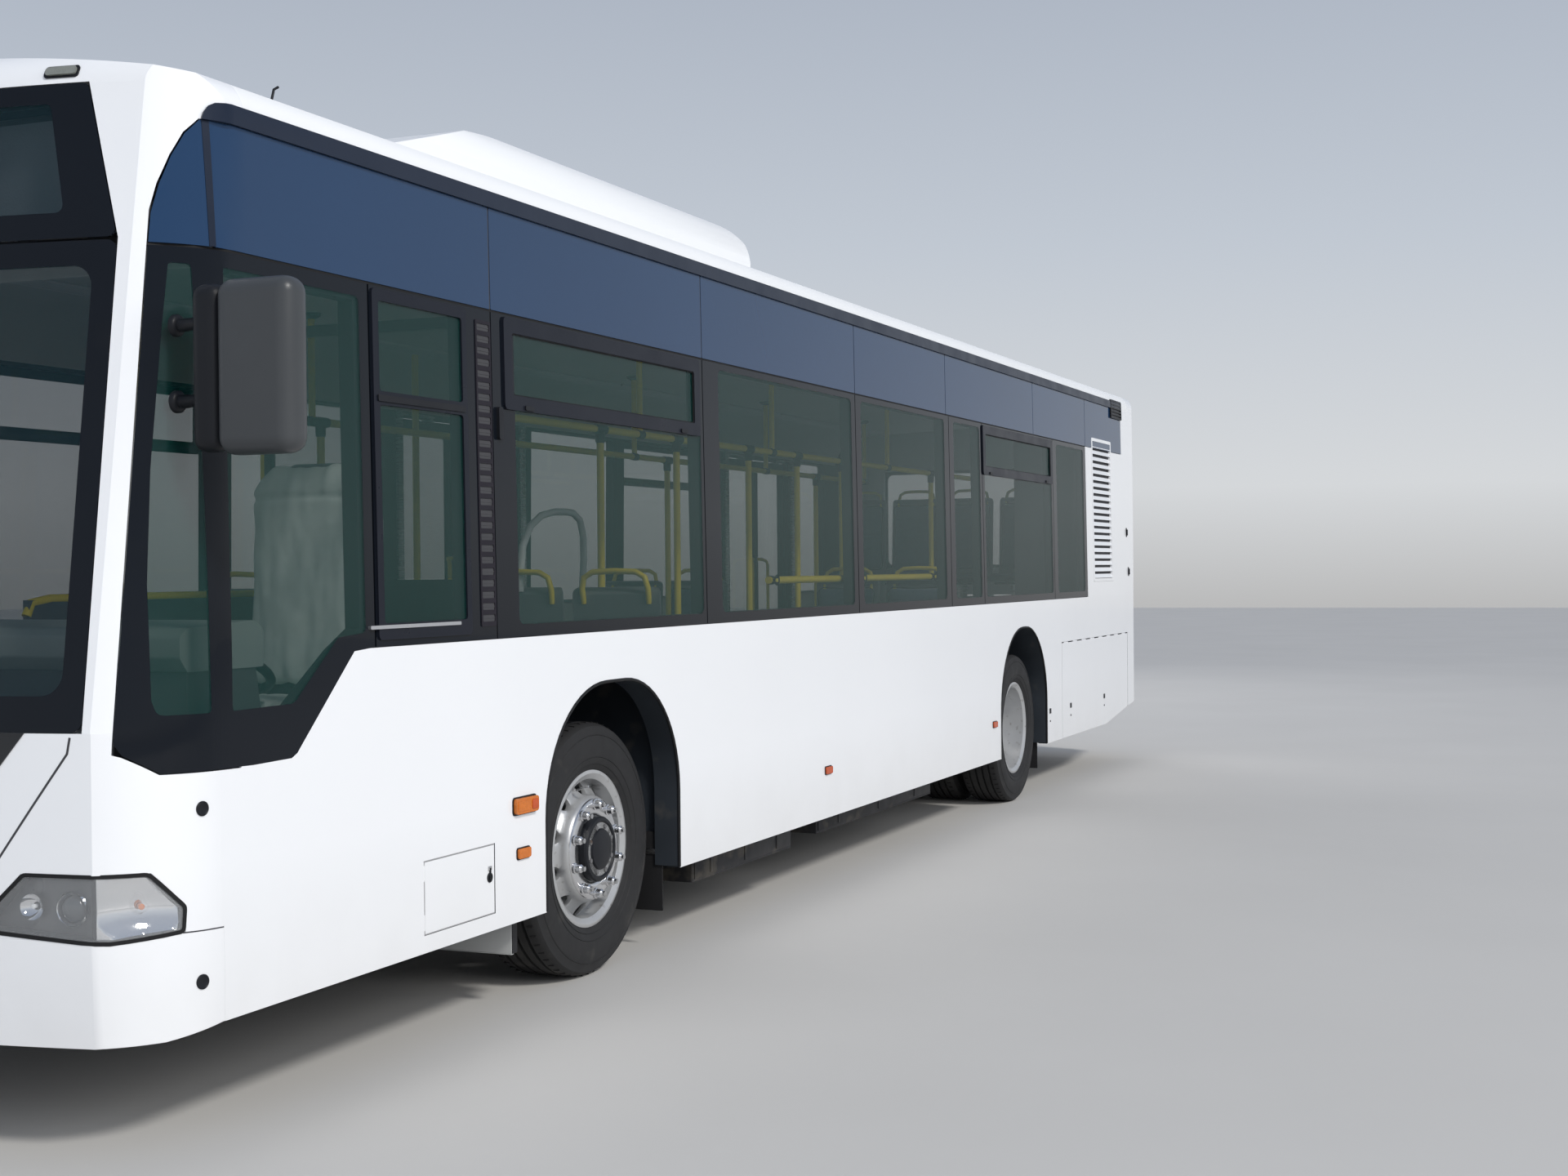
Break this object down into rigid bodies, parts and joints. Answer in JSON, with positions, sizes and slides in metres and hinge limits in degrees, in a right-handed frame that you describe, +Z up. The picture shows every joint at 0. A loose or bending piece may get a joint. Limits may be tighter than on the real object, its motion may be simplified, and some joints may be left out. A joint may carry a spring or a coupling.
{
  "type": "airport passenger bus",
  "caption": "Low-floor airport passenger bus with turning wheels, steering, inward-swinging double doors, engine lid and side flaps.",
  "frame": {"origin": "on the ground under the middle of the bus, midway between the front and rear panels", "axes": "+X forward, +Y to the left, +Z up"},
  "size_m": [11.95, 3.26, 3.165],
  "materials": {
    "white_paint": "gloss",
    "dark_glass": "tinted",
    "floor_covering": "speckled vinyl",
    "chassis_paint": "satin",
    "tyre_rubber": "matt",
    "rim_silver": "satin",
    "black_plastic": "grained",
    "lamp_lens": "clear",
    "engine_iron": "rough",
    "cast_steel": "rough",
    "desk_plastic": "grained",
    "seat_fabric": "woven",
    "yellow_paint": "gloss",
    "door_frame": "satin"
  },
  "bodies": {
    "body": {"left_side_wall": "white_paint", "right_side_wall": "white_paint", "roof_shell": "white_paint", "floor": "floor_covering", "floor_boxes": "floor_covering", "front_mask": "white_paint", "front_bumper": "white_paint", "rear_body": "white_paint", "windows": "dark_glass", "windscreen": "dark_glass", "lamps": "lamp_lens", "mirrors": "black_plastic", "roof_unit": "white_paint", "underframe": "chassis_paint", "engine": "engine_iron", "axles": "cast_steel", "driver_cab": "desk_plastic", "seats": "seat_fabric", "grab_rails": "yellow_paint"},
    "steering_wheel": {"steering_wheel": "black_plastic"},
    "knuckle_left": {"knuckle_left": "cast_steel"},
    "knuckle_right": {"knuckle_right": "cast_steel"},
    "wheel_front_left": {"front_left_tyre": "tyre_rubber", "front_left_rim": "rim_silver"},
    "wheel_front_right": {"front_right_tyre": "tyre_rubber", "front_right_rim": "rim_silver"},
    "wheels_rear_left": {"rear_left_tyres": "tyre_rubber", "rear_left_rims": "rim_silver"},
    "wheels_rear_right": {"rear_right_tyres": "tyre_rubber", "rear_right_rims": "rim_silver"},
    "engine_lid": {"engine_lid": "white_paint"},
    "service_flap": {"service_flap": "white_paint"},
    "side_flap": {"side_flap": "white_paint"},
    "front_door_post_a": {"front_door_post_a": "chassis_paint"},
    "front_door_leaf_a": {"front_door_leaf_a": "door_frame"},
    "front_door_post_b": {"front_door_post_b": "chassis_paint"},
    "front_door_leaf_b": {"front_door_leaf_b": "door_frame"},
    "middle_door_post_a": {"middle_door_post_a": "chassis_paint"},
    "middle_door_leaf_a": {"middle_door_leaf_a": "door_frame"},
    "middle_door_post_b": {"middle_door_post_b": "chassis_paint"},
    "middle_door_leaf_b": {"middle_door_leaf_b": "door_frame"},
    "rear_door_post_a": {"rear_door_post_a": "chassis_paint"},
    "rear_door_leaf_a": {"rear_door_leaf_a": "door_frame"},
    "rear_door_post_b": {"rear_door_post_b": "chassis_paint"},
    "rear_door_leaf_b": {"rear_door_leaf_b": "door_frame"}
  },
  "joints": [
    {"name": "steer_left", "type": "hinge", "parent": "body", "child": "knuckle_left", "pos_m": [3.275, 0.93, 0.478], "axis": [0, 0, 1], "range_deg": [-42, 42]},
    {"name": "steer_right", "type": "hinge", "parent": "body", "child": "knuckle_right", "pos_m": [3.275, -0.93, 0.478], "axis": [0, 0, 1], "range_deg": [-42, 42]},
    {"name": "steering_wheel_turn", "type": "hinge", "parent": "body", "child": "steering_wheel", "pos_m": [4.94, 0.7, 1.25], "axis": [-0.4226, 0, 0.9063], "range_deg": [-756, 756]},
    {"name": "roll_front_left", "type": "hinge", "parent": "knuckle_left", "child": "wheel_front_left", "pos_m": [3.275, 1.05, 0.478], "axis": [0, 1, 0], "continuous": true},
    {"name": "roll_front_right", "type": "hinge", "parent": "knuckle_right", "child": "wheel_front_right", "pos_m": [3.275, -1.05, 0.478], "axis": [0, 1, 0], "continuous": true},
    {"name": "roll_rear_left", "type": "hinge", "parent": "body", "child": "wheels_rear_left", "pos_m": [-2.53, 0.917, 0.478], "axis": [0, 1, 0], "continuous": true},
    {"name": "roll_rear_right", "type": "hinge", "parent": "body", "child": "wheels_rear_right", "pos_m": [-2.53, -0.917, 0.478], "axis": [0, 1, 0], "continuous": true},
    {"name": "engine_lid_open", "type": "hinge", "parent": "body", "child": "engine_lid", "pos_m": [-5.9705, 0, 1.2905], "axis": [0, 1, 0], "range_deg": [0, 80]},
    {"name": "service_flap_open", "type": "hinge", "parent": "body", "child": "service_flap", "pos_m": [4.5785, 1.272, 0.5], "axis": [0, 0, -1], "range_deg": [0, 90]},
    {"name": "side_flap_open", "type": "hinge", "parent": "body", "child": "side_flap", "pos_m": [-4.515, 1.2705, 0.996], "axis": [1, 0, 0], "range_deg": [0, 80]},
    {"name": "front_door_a_turn", "type": "hinge", "parent": "body", "child": "front_door_post_a", "pos_m": [5.305, -1.168, 1], "axis": [0, 0, -1], "range_deg": [0, 88]},
    {"name": "front_door_a_fold", "type": "hinge", "parent": "front_door_post_a", "child": "front_door_leaf_a", "pos_m": [4.995, -1.168, 1], "axis": [0, 0, 1], "range_deg": [0, 176]},
    {"name": "front_door_b_turn", "type": "hinge", "parent": "body", "child": "front_door_post_b", "pos_m": [4.015, -1.168, 1], "axis": [0, 0, 1], "range_deg": [0, 88]},
    {"name": "front_door_b_fold", "type": "hinge", "parent": "front_door_post_b", "child": "front_door_leaf_b", "pos_m": [4.325, -1.168, 1], "axis": [0, 0, -1], "range_deg": [0, 176]},
    {"name": "middle_door_a_turn", "type": "hinge", "parent": "body", "child": "middle_door_post_a", "pos_m": [0.995, -1.168, 1], "axis": [0, 0, -1], "range_deg": [0, 88]},
    {"name": "middle_door_a_fold", "type": "hinge", "parent": "middle_door_post_a", "child": "middle_door_leaf_a", "pos_m": [0.685, -1.168, 1], "axis": [0, 0, 1], "range_deg": [0, 176]},
    {"name": "middle_door_b_turn", "type": "hinge", "parent": "body", "child": "middle_door_post_b", "pos_m": [-0.295, -1.168, 1], "axis": [0, 0, 1], "range_deg": [0, 88]},
    {"name": "middle_door_b_fold", "type": "hinge", "parent": "middle_door_post_b", "child": "middle_door_leaf_b", "pos_m": [0.015, -1.168, 1], "axis": [0, 0, -1], "range_deg": [0, 176]},
    {"name": "rear_door_a_turn", "type": "hinge", "parent": "body", "child": "rear_door_post_a", "pos_m": [-3.255, -1.168, 1], "axis": [0, 0, -1], "range_deg": [0, 88]},
    {"name": "rear_door_a_fold", "type": "hinge", "parent": "rear_door_post_a", "child": "rear_door_leaf_a", "pos_m": [-3.565, -1.168, 1], "axis": [0, 0, 1], "range_deg": [0, 176]},
    {"name": "rear_door_b_turn", "type": "hinge", "parent": "body", "child": "rear_door_post_b", "pos_m": [-4.545, -1.168, 1], "axis": [0, 0, 1], "range_deg": [0, 88]},
    {"name": "rear_door_b_fold", "type": "hinge", "parent": "rear_door_post_b", "child": "rear_door_leaf_b", "pos_m": [-4.235, -1.168, 1], "axis": [0, 0, -1], "range_deg": [0, 176]}
  ],
  "couplings": [
    {"joint": "steer_right", "follows": "steer_left", "ratio": 1},
    {"joint": "steering_wheel_turn", "follows": "steer_left", "ratio": 18},
    {"joint": "front_door_a_fold", "follows": "front_door_a_turn", "ratio": 2},
    {"joint": "front_door_b_turn", "follows": "front_door_a_turn", "ratio": 1},
    {"joint": "front_door_b_fold", "follows": "front_door_a_turn", "ratio": 2},
    {"joint": "middle_door_a_fold", "follows": "middle_door_a_turn", "ratio": 2},
    {"joint": "middle_door_b_turn", "follows": "middle_door_a_turn", "ratio": 1},
    {"joint": "middle_door_b_fold", "follows": "middle_door_a_turn", "ratio": 2},
    {"joint": "rear_door_a_fold", "follows": "rear_door_a_turn", "ratio": 2},
    {"joint": "rear_door_b_turn", "follows": "rear_door_a_turn", "ratio": 1},
    {"joint": "rear_door_b_fold", "follows": "rear_door_a_turn", "ratio": 2}
  ]
}
